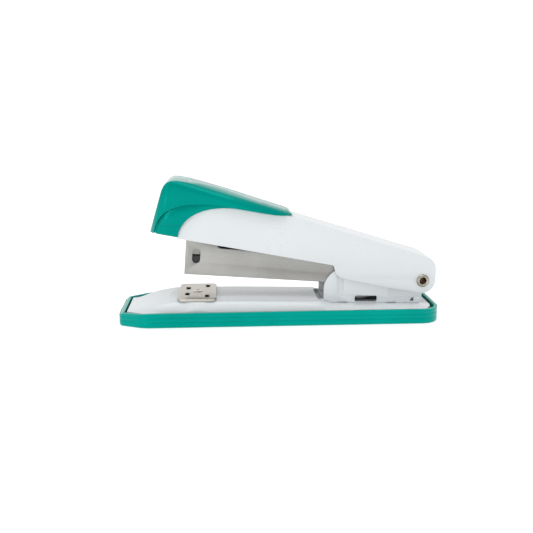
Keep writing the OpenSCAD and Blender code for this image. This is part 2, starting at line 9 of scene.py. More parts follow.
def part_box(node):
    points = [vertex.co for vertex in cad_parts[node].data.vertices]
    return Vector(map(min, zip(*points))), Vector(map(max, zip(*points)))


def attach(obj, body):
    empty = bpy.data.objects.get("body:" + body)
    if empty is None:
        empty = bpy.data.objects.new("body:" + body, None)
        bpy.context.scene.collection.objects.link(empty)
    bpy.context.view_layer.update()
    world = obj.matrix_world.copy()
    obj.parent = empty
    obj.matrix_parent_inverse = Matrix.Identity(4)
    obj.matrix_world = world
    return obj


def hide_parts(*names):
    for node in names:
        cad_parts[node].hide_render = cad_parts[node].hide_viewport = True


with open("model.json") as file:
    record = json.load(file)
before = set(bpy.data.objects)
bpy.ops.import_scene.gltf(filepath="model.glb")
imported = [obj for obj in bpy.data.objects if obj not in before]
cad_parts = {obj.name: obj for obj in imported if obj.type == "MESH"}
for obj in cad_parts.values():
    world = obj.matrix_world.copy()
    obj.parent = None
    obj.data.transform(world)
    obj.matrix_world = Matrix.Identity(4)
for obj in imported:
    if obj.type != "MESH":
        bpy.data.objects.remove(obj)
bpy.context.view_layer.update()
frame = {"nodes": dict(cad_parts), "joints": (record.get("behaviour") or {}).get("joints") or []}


# ---------------------------------------------------------------------------------------------
# Table, lights and camera.
# A white table in a bright, even room, with a tall softbox on the left that puts a long
# highlight on glossy corners, seen from in front and a little above.

def white_table():
    finish = bpy.data.materials.new("white_table")
    finish.use_nodes = True
    shader = finish.node_tree.nodes["Principled BSDF"]
    shader.inputs["Base Color"].default_value = (0.9, 0.9, 0.9, 1)
    shader.inputs["Roughness"].default_value = 0.7
    shader.inputs["Emission Color"].default_value = (1, 1, 1, 1)
    shader.inputs["Emission Strength"].default_value = 0.3
    return finish


def softbox(name, place, aim, size, watts):
    bpy.ops.object.light_add(type="AREA", location=place)
    lamp = bpy.context.object
    lamp.name = name
    lamp.data.shape = "RECTANGLE"
    lamp.data.size, lamp.data.size_y = size
    lamp.data.energy = watts
    lamp.rotation_mode = "QUATERNION"
    lamp.rotation_quaternion = (Vector(aim) - Vector(place)).to_track_quat("-Z", "Y")


look_at = Vector((-0.0049, 0, 0.0203))
camera_distance = 0.291
camera_turn = math.radians(-3.46)
camera_rise = math.radians(12.94)
camera_back = Vector((
    math.sin(camera_turn) * math.cos(camera_rise),
    -math.cos(camera_turn) * math.cos(camera_rise),
    math.sin(camera_rise),
))
bpy.ops.object.camera_add(location=look_at + camera_back * camera_distance)
camera = bpy.context.object
camera.rotation_mode = "QUATERNION"
camera.rotation_quaternion = (-camera_back).to_track_quat("-Z", "Y")
camera.data.sensor_width = 36
camera.data.lens = 47.82
camera.data.clip_start = 0.005
bpy.context.scene.camera = camera

bpy.ops.mesh.primitive_plane_add(size=6)
table = bpy.context.object
table.name = "table"
table.data.materials.append(white_table())

softbox("top_light", (-0.05, -0.2, 0.6), (0, 0, 0), (0.5, 0.3), 0.9)
softbox("side_light", (-0.22, -0.36, 0.12), (-0.05, 0, 0.04), (0.12, 0.26), 0.28)


def bright_room():
    """White walls that are dimmer on the side the object is seen from."""
    world = bpy.data.worlds.new("bright_room")
    world.use_nodes = True
    tree = world.node_tree
    at = tree.nodes.new("ShaderNodeTexCoord")
    split = tree.nodes.new("ShaderNodeSeparateXYZ")
    level = tree.nodes.new("ShaderNodeMapRange")
    level.inputs["From Min"].default_value = -1.0
    level.inputs["From Max"].default_value = 0.1
    level.inputs["To Min"].default_value = 0.56
    level.inputs["To Max"].default_value = 1.0
    tree.links.new(at.outputs["Generated"], split.inputs[0])
    tree.links.new(split.outputs["Y"], level.inputs["Value"])
    tree.links.new(level.outputs[0], tree.nodes["Background"].inputs["Strength"])
    tree.nodes["Background"].inputs["Color"].default_value = (1, 1, 1, 1)
    return world


bpy.context.scene.world = bright_room()
bpy.context.scene.view_settings.view_transform = "Standard"


# ---------------------------------------------------------------------------------------------
# Base tray.
# Injection-moulded in glossy teal plastic: a low rim round the base, ribbed along its outside,
# with a ledge inside that carries the steel plate.

MM = 0.001


class Shade:
    """A number that changes over a surface. Python's operators add Math nodes."""

    def __init__(self, tree, socket):
        self.tree, self.socket = tree, socket

    def _with(self, operation, first, second, clamp=False):
        node = self.tree.nodes.new("ShaderNodeMath")
        node.operation, node.use_clamp = operation, clamp
        for slot, value in zip(node.inputs, (first, second)):
            if isinstance(value, Shade):
                self.tree.links.new(value.socket, slot)
            else:
                slot.default_value = value
        return Shade(self.tree, node.outputs[0])

    def __add__(self, other):
        return self._with("ADD", self, other)

    def __sub__(self, other):
        return self._with("SUBTRACT", self, other)

    def __rsub__(self, other):
        return self._with("SUBTRACT", other, self)

    def __mul__(self, other):
        return self._with("MULTIPLY", self, other)

    def clamped(self):
        return self._with("ADD", self, 0.0, clamp=True)


class Finish:
    """A surface finish: one Principled shader and the nodes that feed it."""

    def __init__(self, name, **fixed):
        self.material = bpy.data.materials.new(name)
        self.material.use_nodes = True
        self.tree = self.material.node_tree
        self.shader = self.tree.nodes["Principled BSDF"]
        for socket, value in fixed.items():
            self.shader.inputs[socket.replace("_", " ")].default_value = value

    def node(self, kind, settings, sockets, out=0):
        """Adds a node, sets its settings, then its sockets, and gives one output."""
        node = self.tree.nodes.new("ShaderNode" + kind)
        for name, value in settings.items():
            setattr(node, name, value)
        for name, value in sockets.items():
            slot = node.inputs[name]
            if isinstance(value, Shade):
                self.tree.links.new(value.socket, slot)
            else:
                slot.default_value = value
        return Shade(self.tree, node.outputs[out])

    def place(self, scale=(1, 1, 1), turn=(0, 0, 0)):
        """Object coordinates, turned and stretched."""
        at = self.node("TexCoord", {}, {}, "Object")
        turned = self.node("Mapping", {}, {"Vector": at, "Rotation": turn})
        return self.node("Mapping", {}, {"Vector": turned, "Scale": scale})

    def grain(self, size, detail=2.0, scale=(1, 1, 1), turn=(0, 0, 0)):
        """Noise with grains of about this size, in millimetres, from 0 to 1."""
        return self.node("TexNoise", {}, {
            "Vector": self.place(scale, turn), "Scale": 1 / (size * MM), "Detail": detail,
        }, "Fac")

    def above(self, value, edge, soft):
        """0 below the edge and 1 above it, with a soft step between."""
        return self.node("MapRange", {"interpolation_type": "SMOOTHSTEP"}, {
            "Value": value, "From Min": edge - soft, "From Max": edge + soft,
        })

    def blend(self, share, low, high):
        """A colour between two colours."""
        node = self.tree.nodes.new("ShaderNodeMix")
        node.data_type = "RGBA"
        self.tree.links.new(share.clamped().socket, node.inputs[0])
        for slot, value in ((node.inputs[6], low), (node.inputs[7], high)):
            if isinstance(value, Shade):
                self.tree.links.new(value.socket, slot)
            else:
                slot.default_value = (*value, 1)
        return Shade(self.tree, node.outputs[2])

    def feed(self, **sockets):
        """Links values that change over the surface to the shader."""
        for name, value in sockets.items():
            self.tree.links.new(value.socket, self.shader.inputs[name.replace("_", " ")])

    def relief(self, height, depth):
        """Feeds a height, from 0 to 1, to the shader's Normal as relief this many mm deep."""
        self.feed(Normal=self.node("Bump", {}, {"Height": height, "Distance": depth * MM}))


def glossy_plastic(name, deep, lit, tint, rough):
    """Moulded plastic with faint flow marks and fine scuffs."""
    finish = Finish(name, IOR=1.52)
    finish.shader.inputs["Specular Tint"].default_value = (*tint, 1)
    cloud = finish.grain(30)
    flow = finish.grain(5, 3, (1, 1, 0.35))
    scuffs = finish.grain(0.8, 4, (0.15, 1, 1), (0, 0.25, 0.2))
    finish.feed(
        Base_Color=finish.blend(cloud * 1.6 - 0.3 + flow * 0.2, deep, lit),
        Roughness=(scuffs * 0.12 + flow * 0.06 + (rough - 0.09)).clamped(),
    )
    finish.relief(flow * 0.8 + scuffs * 0.2, 0.02)
    return finish.material


def clear_bench():
    """Leaves edit mode and selects nothing."""
    if bpy.context.object and bpy.context.object.mode == "EDIT":
        bpy.ops.object.mode_set(mode="OBJECT")
    bpy.ops.object.select_all(action="DESELECT")


def hold(piece):
    """Makes a piece the only selected one."""
    clear_bench()
    piece.select_set(True)
    bpy.context.view_layer.objects.active = piece


def draw(name, corners, closed=True):
    """Draws an outline corner by corner, in millimetres, and stays in edit mode."""
    clear_bench()
    bpy.ops.mesh.primitive_plane_add(size=1)
    piece = bpy.context.object
    piece.name = piece.data.name = name
    bpy.ops.object.mode_set(mode="EDIT")
    bpy.ops.mesh.select_mode(type="VERT")
    bpy.ops.mesh.select_all(action="SELECT")
    bpy.ops.mesh.merge(type="CENTER")
    bpy.ops.transform.translate(value=corners[0])
    for here, there in zip(corners, corners[1:]):
        step = [b - a for a, b in zip(here, there)]
        bpy.ops.mesh.extrude_region_move(TRANSFORM_OT_translate={"value": step})
    bpy.ops.mesh.select_all(action="SELECT")
    if closed:
        bpy.ops.mesh.edge_face_add()
    return piece


def pull(*way):
    """Extrudes what is selected."""
    bpy.ops.mesh.extrude_region_move(TRANSFORM_OT_translate={"value": way})


def pick(kind, wanted):
    """Selects the points, edges or faces whose middle and direction pass a test."""
    bpy.ops.mesh.select_mode(type=kind)
    bpy.ops.mesh.select_all(action="DESELECT")
    mesh = bmesh.from_edit_mesh(bpy.context.object.data)
    mesh.normal_update()
    for part in {"VERT": mesh.verts, "EDGE": mesh.edges, "FACE": mesh.faces}[kind]:
        if kind == "VERT":
            middle, way = part.co, part.normal
        elif kind == "EDGE":
            ends = [v.co for v in part.verts]
            middle, way = (ends[0] + ends[1]) / 2, (ends[1] - ends[0]).normalized()
        else:
            middle, way = part.calc_center_median(), part.normal
        if wanted(middle, way):
            part.select_set(True)
    mesh.select_flush(True)
    bmesh.update_edit_mesh(bpy.context.object.data)


def heal(gap=0.001):
    """Joins doubled points and turns every face outwards."""
    bpy.ops.mesh.select_all(action="SELECT")
    bpy.ops.mesh.remove_doubles(threshold=gap)
    bpy.ops.mesh.normals_make_consistent(inside=False)


def round_edges(width, segments, wanted):
    """Rounds the edges that pass a test."""
    pick("EDGE", wanted)
    bpy.ops.mesh.bevel(offset=width, segments=segments, affect="EDGES", clamp_overlap=True)


def slice_at(at, way):
    """Cuts the whole piece along a plane, and leaves the cut selected."""
    bpy.ops.mesh.select_all(action="SELECT")
    bpy.ops.mesh.bisect(plane_co=at, plane_no=way)


def work(piece, kind, **settings):
    """Adds a modifier and applies it."""
    hold(piece)
    modifier = piece.modifiers.new(kind.lower(), kind)
    for name, value in settings.items():
        setattr(modifier, name, value)
    bpy.ops.object.modifier_apply(modifier=modifier.name)


def ease(piece, width, segments=2, angle=30):
    """Rounds every edge sharper than the angle."""
    work(
        piece, "BEVEL", width=width, segments=segments, limit_method="ANGLE",
        angle_limit=math.radians(angle), use_clamp_overlap=True,
    )


def combine(piece, other, operation):
    """Joins, cuts or crosses a piece with another shape, and removes that shape."""
    work(piece, "BOOLEAN", operation=operation, object=other, solver="EXACT")
    bpy.data.objects.remove(other)


def carve(piece, cutter):
    """Cuts another shape out of a piece."""
    combine(piece, cutter, "DIFFERENCE")


def drill(piece, radius, at, way, length=80):
    """Drills a round hole."""
    clear_bench()
    bpy.ops.mesh.primitive_cylinder_add(
        vertices=48, radius=radius, depth=length, location=at,
        rotation=Vector(way).to_track_quat("Z", "Y").to_euler(),
    )
    carve(piece, bpy.context.object)


def stand(piece, body, finish, node, tilt=None, smooth=35):
    """Brings a finished piece from millimetres to its place, and says what it is."""
    hold(piece)
    bpy.ops.object.transform_apply(location=True, rotation=True, scale=True)
    piece.scale = (MM, MM, MM)
    if tilt is not None:
        piece.rotation_euler = (0, tilt, 0)
        piece.location = hinge
    bpy.ops.object.transform_apply(location=True, rotation=True, scale=True)
    bpy.ops.object.shade_smooth_by_angle(angle=math.radians(smooth))
    piece.data.materials.clear()
    piece.data.materials.append(finish)
    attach(piece, body)
    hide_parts(node)


hinge = Vector(next(j for j in frame["joints"] if j["name"] == "magazine_tilt")["pos_m"])
tray_low, tray_high = (Vector(c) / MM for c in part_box("base_tray"))
tray_wall = 1.3
tray_chamfer = (10, 4.9)
tray_rear_round = 7.5
tray_ledge_z = 3.2
tray_ledge_w = 2
tray_ledge_drop = 1.6
tray_grooves = (2.4, 4.1)
groove_half_w = 0.3
groove_depth = 0.14
mouth_drop = 0.9
mouth_drop_from_z = 4.5
mouth_length = 14
anvil_x = -33.2
button_hole_r = 5.6


def part_way(value, start, end):
    """0 before start, 1 after end, and straight between."""
    return max(0.0, min(1.0, (value - start) / (end - start)))


def base_outline(inset):
    """Plan of the base, drawn in from its edge: chamfers at the mouth, round rear corners."""
    arc_steps = 10
    x0, x1, half = tray_low.x, tray_high.x, tray_high.y
    along, across = tray_chamfer
    slant = math.hypot(along, across)
    front_y = half - across - inset * (slant - across) / along
    side_x = x0 + along + inset * (slant - along) / across
    side = [(x0 + inset, front_y), (side_x, half - inset)]
    r = tray_rear_round - inset
    for i in range(arc_steps + 1):
        a = math.pi / 2 * (1 - i / arc_steps)
        side.append((
            x1 - tray_rear_round + r * math.cos(a), half - tray_rear_round + r * math.sin(a),
        ))
    return [(x, y, 0) for x, y in side] + [(x, -y, 0) for x, y in reversed(side)]


teal_moulding = glossy_plastic(
    "teal_moulding", (0.0, 0.25, 0.205), (0.0, 0.31, 0.26), (0.02, 0.9, 0.75), 0.16,
)

tray = draw("tray_moulding", base_outline(0))
pull(0, 0, tray_high.z)
heal()
round_edges(1.5, 4, lambda at, way: at.x < tray_low.x + 1 and abs(way.z) > 0.9)
round_edges(2.4, 5, lambda at, way: 8 < at.x - tray_low.x < 10.1 and abs(way.z) > 0.9)
pick("FACE", lambda at, way: way.z > 0.9)
bpy.ops.mesh.inset(thickness=tray_wall)
pull(0, 0, tray_ledge_z - tray_high.z)
bpy.ops.mesh.inset(thickness=tray_ledge_w)
pull(0, 0, -tray_ledge_drop)
round_edges(2.0, 5, lambda at, way: at.z < 0.01)
round_edges(0.6, 4, lambda at, way: at.z > tray_high.z - 0.01)
# Shallow grooves part the ribs along the outside, and the rim drops a little towards the mouth
for groove_z in tray_grooves:
    for rise in (-groove_half_w, 0, groove_half_w):
        slice_at((0, 0, groove_z + rise), (0, 0, 1))
mesh = bmesh.from_edit_mesh(tray.data)
mesh.normal_update()
for v in mesh.verts:
    faces_out = v.normal.xy.dot(Vector((v.co.x, v.co.y * 3))) > 0
    if faces_out and min(abs(v.co.z - groove_z) for groove_z in tray_grooves) < 0.01:
        v.co -= v.normal * groove_depth
    if v.co.z > mouth_drop_from_z:
        v.co.z -= mouth_drop * (1 - part_way(v.co.x, tray_low.x, tray_low.x + mouth_length))
bmesh.update_edit_mesh(tray.data)
drill(tray, button_hole_r, (anvil_x, 0, 0), (0, 0, 1))
stand(tray, "base", teal_moulding, "base_tray")


# ---------------------------------------------------------------------------------------------
# Base plate.
# One pressed sheet of steel in white paint: a long ridge, a round boss under the anvil and a
# turned-down edge that drops into the tray.

plate_inset = 3.0
plate_lip_z = 5.1
plate_top_z = 9.35
plate_sheet = 0.8
plate_lip = 1.9
boss_at = Vector((anvil_x, 0))
dome_x, dome_length = -42, 19
fall_x, ridge_fall = -18, 0.75 / 32.3
deck_x, deck_z, deck_fall = 17.8, 6.9, math.tan(math.radians(1.27))
nose_round = 2.4
nose_at = (18.3, 5.9)


def arc(middle, radius, start, end, step):
    """Points along an arc, with its angles in degrees."""
    count = max(1, round(abs(end - start) / step))
    turn = [math.radians(start + (end - start) * i / count) for i in range(count + 1)]
    return [(middle[0] + radius * math.cos(a), middle[1] + radius * math.sin(a)) for a in turn]


def painted_steel(name, rough):
    """Sprayed paint with a slight orange peel."""
    finish = Finish(name, IOR=1.45, Coat_Weight=0.25, Coat_Roughness=0.12)
    cloud = finish.grain(25)
    peel = finish.grain(0.9, 3)
    finish.feed(
        Base_Color=finish.blend(cloud * 1.4 - 0.2, (0.69, 0.72, 0.74), (0.66, 0.69, 0.705)),
        Roughness=(peel * 0.12 + cloud * 0.08 + (rough - 0.1)).clamped(),
    )
    finish.relief(peel, 0.004)
    return finish.material


def ramp(value, start, end):
    """0 before start, 1 after end, and smooth between."""
    t = part_way(value, start, end)
    return t * t * (3 - 2 * t)


def ridge_height(x):
    """Height of the ridge's crown: a dome at the mouth, flat, then a gentle fall."""
    if x < dome_x:
        t = min(1, (dome_x - x) / dome_length)
        return plate_lip_z + (plate_top_z - plate_lip_z) * (1 - t ** 1.35)
    return plate_top_z - ridge_fall * max(0, x - fall_x)


def deck(x):
    """Height of the low rear part, which carries the bracket."""
    return deck_z - (x - deck_x) * deck_fall


def ridge_end(y):
    """Where the ridge starts and stops its step down to the deck: sharp round the bracket's
    nose, long beside it."""
    if abs(y) < 8.6:
        bend = min(1, max(0, abs(y) - nose_at[1]) / nose_round)
        edge = 15.6 + 2.3 * (1 - math.sqrt(1 - bend * bend))
        return edge - 0.2, edge + 0.2
    return 15, 22


def from_chamfer(x, y):
    """Distance of a point from the plate's chamfered front edge."""
    along, across = tray_chamfer
    return (
        across * (x - tray_low.x - along) + along * (tray_high.y - abs(y))
    ) / math.hypot(along, across) - plate_inset


def pressed_height(x, y):
    """Height of the plate's upper face."""
    low = plate_lip_z
    half_flat, half_low = 10.6 - 1.3 * ramp(x, 14, 20), 14.2
    step = ramp(x, *ridge_end(y))
    crown = ridge_height(x) * (1 - step) + deck(x) * step
    side = 1 - part_way(abs(y), half_flat, half_low) ** 2.2
    ridge = low + (crown - low) * side * ramp(from_chamfer(x, y), 0, 4)
    reach = (Vector((x, y)) - boss_at).length
    boss = plate_top_z - (plate_top_z - low) * ramp(reach, 12.2, 15.4)
    return max(ridge, boss)


plate = draw("pressed_plate", base_outline(plate_inset))
for x in list(range(-60, 62)) + [15 + 0.2 * i for i in range(16)]:
    slice_at((x, 0, 0), (1, 0, 0))
for i in range(-35, 36):
    slice_at((0, i * 0.4, 0), (0, 1, 0))
mesh = bmesh.from_edit_mesh(plate.data)
for v in mesh.verts:
    v.co.z = pressed_height(v.co.x, v.co.y)
bmesh.update_edit_mesh(plate.data)
bpy.ops.mesh.select_all(action="SELECT")
bpy.ops.mesh.region_to_loop()
pull(0, 0, -plate_lip)
heal()
work(plate, "SOLIDIFY", thickness=plate_sheet, offset=-1, use_even_offset=True)
drill(plate, 1.7, (anvil_x, 0, 10), (0, 0, 1), 6)
white_paint = painted_steel("white_paint", 0.3)
stand(plate, "base", white_paint, "base_plate", smooth=50)


# ---------------------------------------------------------------------------------------------
# Hinge bracket.
# Sheet steel in the same white paint, folded into two side plates, a floor and a low web in
# front, and riveted to the base plate. The sides carry the hinge, and have a window, a lanced
# slot and a pressed bead.

bracket_half_w = 8.3
bracket_sheet = 0.8
nose_top_z = 11.0
bead_depth = 0.4
joggle_depth = 0.16
pivot = (hinge.x / MM, hinge.z / MM)


def slab(name, outline, y0, y1):
    """A side outline in XZ, given a width along Y, left in edit mode."""
    piece = draw(name, [(x, y0, z) for x, z in outline])
    pull(0, y1 - y0, 0)
    heal()
    return piece


def capsule(middle, half_w, half_h, step=20):
    """Outline of an upright slot with round ends."""
    x, z = middle
    straight = half_h - half_w
    upper = arc((x, z + straight), half_w, 0, 180, step)
    return upper + arc((x, z - straight), half_w, 180, 360, step)


def nose_plan(inset, rear, z):
    """Plan of the bracket's round front, drawn in from its surface."""
    r = nose_round - inset
    x, y = nose_at
    return [(px, py, z) for px, py in (
        [(rear, -y - r)] + arc((x, -y), r, 270, 180, 12) + arc((x, y), r, 180, 90, 12)
        + [(rear, y + r)]
    )]


bracket = slab("hinge_bracket_plates", (
    [(deck_x, deck_z), (57.1, deck(57.1)), (57.4, deck(57.4) + 0.3)]
    + arc(pivot, 4.6, -84, 90, 12)
    + arc((26.8, 12.2), 9, 90, 180, 9)
), -bracket_half_w, bracket_half_w)
round_edges(0.35, 3, lambda at, way: (
    abs(at.y) > bracket_half_w - 0.01 and abs(at.z - deck(at.x)) < 0.1 and abs(way.x) > 0.9))
carve(bracket, slab("core", [
    (0, deck(0) + bracket_sheet), (70, deck(70) + bracket_sheet), (70, 40), (0, 40),
], bracket_sheet - bracket_half_w, bracket_half_w - bracket_sheet))
nose = draw("nose", nose_plan(0, 18.8, deck(16)))
pull(0, 0, nose_top_z - deck(16))
heal()
round_edges(0.4, 3, lambda at, way: at.z > nose_top_z - 0.01 and at.x < 17)
nose_core = draw("nose_core", nose_plan(bracket_sheet, 20, 0))
pull(0, 0, 20)
heal()
carve(nose, nose_core)
combine(bracket, nose, "UNION")
bead = capsule((24.5, 21), 1.3, 11.4)
rear_joggle = [(44.1, 8.9), (70, 8.9), (70, 40), (44.1, 40)]
for outline, depth in ((bead, bead_depth), (rear_joggle, joggle_depth)):
    pressed_y = bracket_half_w - depth
    carve(bracket, slab("pressed_near", outline, -9, -pressed_y))
    carve(bracket, slab("pressed_far", outline, pressed_y, 9))
window = slab("window", [(30.5, 7.0), (39.6, 6.8), (39.6, 9.4), (30.5, 9.6)], -12, 12)
round_edges(0.6, 3, lambda at, way: abs(way.y) > 0.9)
carve(bracket, window)
carve(bracket, slab("lance", [(53.1, 7.0), (54.8, 7.0), (54.8, 8.7), (54.1, 8.7)], -12, 12))
for x in (25.5, 45.5):
    carve(bracket, slab("foot_gap", [
        (x - 2.3, deck(x) - 1), (x + 2.3, deck(x) - 1),
        (x + 2, deck(x) + 0.4), (x - 2, deck(x) + 0.4),
    ], -12, 12))
drill(bracket, 1.92, (pivot[0], 0, pivot[1]), (0, 1, 0))
ease(bracket, 0.12)
stand(bracket, "base", white_paint, "hinge_bracket")


# ---------------------------------------------------------------------------------------------
# Hinge rivet, bush, the bracket's own rivets and the lift spring.
# The hinge is a hollow nickel-plated rivet whose two ends are rolled over the cover's sides.
# A leaf of blued steel, held by the bracket's rivets, lifts the magazine off the anvil; its
# near-black colour is partly the blued oxide and partly painted shade that keeps the bracket's
# window dark.

def metal(
    name, dark, light, rough, streak=(0.12, 1, 1), turn=0.0, depth=0.006, patches=0.35,
    painted_shade=None,
):
    """Metal with drawn streaks, clouds and small pits, and painted shade, near black, where the
    given mask says.
    """
    finish = Finish(name, Metallic=1.0)
    cloud = finish.grain(14, 3)
    lines = finish.grain(0.35, 4, streak, (0, turn, 0))
    pits = finish.above(finish.grain(0.6, 3), 0.66, 0.05)
    colour = finish.blend(cloud * (patches * 2) + lines * 0.4 - pits * 0.3, dark, light)
    # Painted shade: where the mask is 1 the colour goes to near black.
    if painted_shade:
        colour = finish.blend(painted_shade(finish), colour, (0.02, 0.02, 0.02))
    finish.feed(
        Base_Color=colour,
        Roughness=(lines * 0.16 + cloud * 0.12 + pits * 0.1 + (rough - 0.14)).clamped(),
    )
    finish.relief(lines * 0.7 + pits * 0.3, depth)
    return finish.material


def lathe(name, profile, at=(0, 0, 0), way=(0, 0, 1), steps=48):
    """Turns a profile of radius and height round an axis."""
    piece = draw(name, [(r, 0, h) for r, h in profile], closed=False)
    bpy.ops.mesh.spin(steps=steps, angle=math.tau, center=(0, 0, 0), axis=(0, 0, 1))
    heal()
    piece.rotation_euler = Vector(way).to_track_quat("Z", "Y").to_euler()
    piece.location = at
    hold(piece)
    bpy.ops.object.transform_apply(location=True, rotation=True, scale=True)
    return piece


def from_design(name, node, width, segments=2):
    """A copy of one of the design's pieces, in millimetres, with its edges eased."""
    source = frame["nodes"][node]
    piece = source.copy()
    piece.data = source.data.copy()
    piece.modifiers.clear()
    piece.parent = None
    bpy.context.collection.objects.link(piece)
    hold(piece)
    piece.name = piece.data.name = name
    piece.data.transform(Matrix.Scale(1 / MM, 4))
    piece.hide_render = False
    bpy.ops.object.mode_set(mode="EDIT")
    bpy.ops.mesh.select_all(action="SELECT")
    bpy.ops.mesh.remove_doubles(threshold=0.002)
    bpy.ops.mesh.dissolve_limited(angle_limit=math.radians(3))
    bpy.ops.object.mode_set(mode="OBJECT")
    ease(piece, width, segments)
    return piece


nickel = metal("nickel_plate", (0.42, 0.38, 0.33), (0.78, 0.74, 0.68), 0.2, (1, 1, 1))
zinc = metal("zinc_plate", (0.4, 0.4, 0.42), (0.68, 0.68, 0.69), 0.3, (1, 1, 1))

# The rivet's nickel is painted darker than the other nickel parts: painted shade for its deep
# hollow.
rivet_nickel_painted_shade = metal("rolled_nickel_painted_shade", (0.2, 0.17, 0.14), (0.62, 0.57, 0.5), 0.16, (1, 1, 1))
rolled_end = [
    (0, 4.0), (1.1, 4.0), (1.3, 4.3), (1.32, 9.75), (1.5, 10.02), (1.8, 10.1),
    (2.15, 10.02), (2.42, 9.8), (2.55, 9.52), (2.5, 9.42), (1.9, 9.4),
]
rivet = lathe(
    "hollow_hinge_rivet", rolled_end + [(r, -h) for r, h in reversed(rolled_end)],
    (pivot[0], 0, pivot[1]), (0, 1, 0),
)
stand(rivet, "base", rivet_nickel_painted_shade, "hinge_eyelet", smooth=45)

bush = from_design("hinge_spacer", "hinge_bush", 0.08)
stand(bush, "magazine", nickel, "hinge_bush")

floor_rivets = from_design("bracket_floor_rivets", "bracket_rivets", 0.25, 3)
stand(floor_rivets, "base", zinc, "bracket_rivets")

# Near black: partly the blued oxide, partly painted shade that keeps the bracket's window dark.
blued_and_painted_shade_leaf = metal(
    "blued_steel_and_painted_shade", (0.03, 0.033, 0.04), (0.16, 0.16, 0.17), 0.35, (0.2, 1, 1),
)
lift = from_design("lift_leaf", "lift_spring", 0.1)
stand(lift, "base", blued_and_painted_shade_leaf, "lift_spring")


# ---------------------------------------------------------------------------------------------
# Anvil, its stud, button and spring.
# A nickel-plated steel plate with two pairs of clinching grooves, riveted to a stud. Pushing
# the button up from below lifts the plate so that it can be turned.

anvil_low, anvil_high = (Vector(c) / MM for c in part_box("anvil_plate"))
anvil_mid = (anvil_low + anvil_high) / 2
anvil_half = (anvil_high - anvil_low) / 2


def rounded_plan(middle, half, corner):
    """Plan of a plate with round corners."""
    points = []
    for sx, sy, start in ((1, 1, 0), (-1, 1, 90), (-1, -1, 180), (1, -1, 270)):
        at = (middle.x + sx * (half.x - corner), middle.y + sy * (half.y - corner))
        points += arc(at, corner, start, start + 90, 15)
    return points


def groove_painted_shade(finish):
    """Painted shade in the clinching grooves: near black below the top face and away from the
    edges.
    """
    at = finish.node("TexCoord", {}, {}, "Object")
    height = finish.node("SeparateXYZ", {}, {"Vector": at}, "Z")
    across = finish.node("SeparateXYZ", {}, {"Vector": at}, "Y")
    rim = (anvil_half.y - 1) * MM
    inner = finish.above(across * across, rim * rim, 1e-6)
    face = finish.above(height, (anvil_high.z - 0.12) * MM, 0.05 * MM)
    return (1.0 - inner) * (1.0 - face)


# The anvil's clinching grooves are painted near black as painted shade.
nickel_anvil = metal(
    "nickel_anvil", (0.46, 0.43, 0.385), (0.64, 0.61, 0.56), 0.34, (0.25, 1, 1),
    depth=0.008, painted_shade=groove_painted_shade,
)
anvil = draw("anvil_plate_pressed", [
    (x, y, anvil_low.z) for x, y in rounded_plan(anvil_mid, anvil_half, 1.9)
])
pull(0, 0, anvil_high.z - anvil_low.z)
heal()
round_edges(0.28, 3, lambda at, way: abs(way.z) < 0.5 and at.z > anvil_high.z - 0.01)
# Each groove is two oval pits that lean towards each other
for groove_x, groove_y in ((-4.0, 4.6), (4.0, 7.9)):
    for side in (-1, 1):
        for part in (-1, 1):
            clear_bench()
            pit_y = side * groove_y + part * 0.95
            bpy.ops.mesh.primitive_uv_sphere_add(
                segments=24, ring_count=12, radius=1,
                location=(anvil_mid.x + groove_x, pit_y, anvil_high.z),
                scale=(1.0, 1.3, 0.8), rotation=(0, 0, part * side * 0.5),
            )
            carve(anvil, bpy.context.object)
drill(anvil, 1.6, (anvil_mid.x, 0, 10), (0, 0, 1), 6)
stand(anvil, "anvil", nickel_anvil, "anvil_plate", smooth=40)

stud = lathe("anvil_stud_turned", [
    (0, 0.5), (2.2, 0.5), (2.4, 0.6), (2.4, 0.85), (1.6, 0.85), (1.6, anvil_high.z),
    (2.2, anvil_high.z), (2.2, anvil_high.z + 0.1), (2.0, anvil_high.z + 0.23),
    (1.2, anvil_high.z + 0.25), (1.05, anvil_high.z + 0.12), (0, anvil_high.z + 0.1),
], (anvil_mid.x, 0, 0))
stand(stud, "anvil", nickel, "anvil_stud", smooth=40)

button = from_design("anvil_push_button", "anvil_button", 0.35, 3)
stand(button, "anvil_button", zinc, "anvil_button")


def coil(name, radius, wire, low, high, turns):
    """A compression spring wound along Z."""
    clear_bench()
    bpy.ops.mesh.primitive_circle_add(vertices=10, radius=wire, rotation=(math.pi / 2, 0, 0))
    piece = bpy.context.object
    piece.name = piece.data.name = name
    piece.location = (radius, 0, low + wire)
    bpy.ops.object.transform_apply(location=True, rotation=True, scale=True)
    work(
        piece, "SCREW", axis="Z", angle=math.tau, iterations=turns,
        screw_offset=(high - low - 2 * wire) / turns, steps=28, render_steps=28,
    )
    bpy.ops.object.mode_set(mode="EDIT")
    bpy.ops.mesh.select_all(action="SELECT")
    bpy.ops.mesh.remove_doubles(threshold=0.002)
    bpy.ops.mesh.select_all(action="DESELECT")
    bpy.ops.mesh.select_non_manifold()
    bpy.ops.mesh.edge_face_add()
    heal(0.002)
    return piece


spring_wire = metal("spring_wire", (0.3, 0.3, 0.32), (0.58, 0.58, 0.6), 0.25, (1, 1, 1))
anvil_coil = coil("anvil_coil_spring", 2.5, 0.3, 2.62, plate_top_z - plate_sheet - 0.02, 4)
anvil_coil.location = (anvil_mid.x, 0, 0)
stand(anvil_coil, "base", spring_wire, "anvil_spring")


# ---------------------------------------------------------------------------------------------
# Magazine.
# An open channel of bare steel sheet with hinge ears at its rear and a slot in each side near
# the nose, where a folded insert closes the front and guides the driver.

magazine_tilt = math.radians(4.2)
magazine_half_w = 7.3
magazine_inner_w = 6.65
magazine_under_z = -3.4
magazine_front_x = -96.1

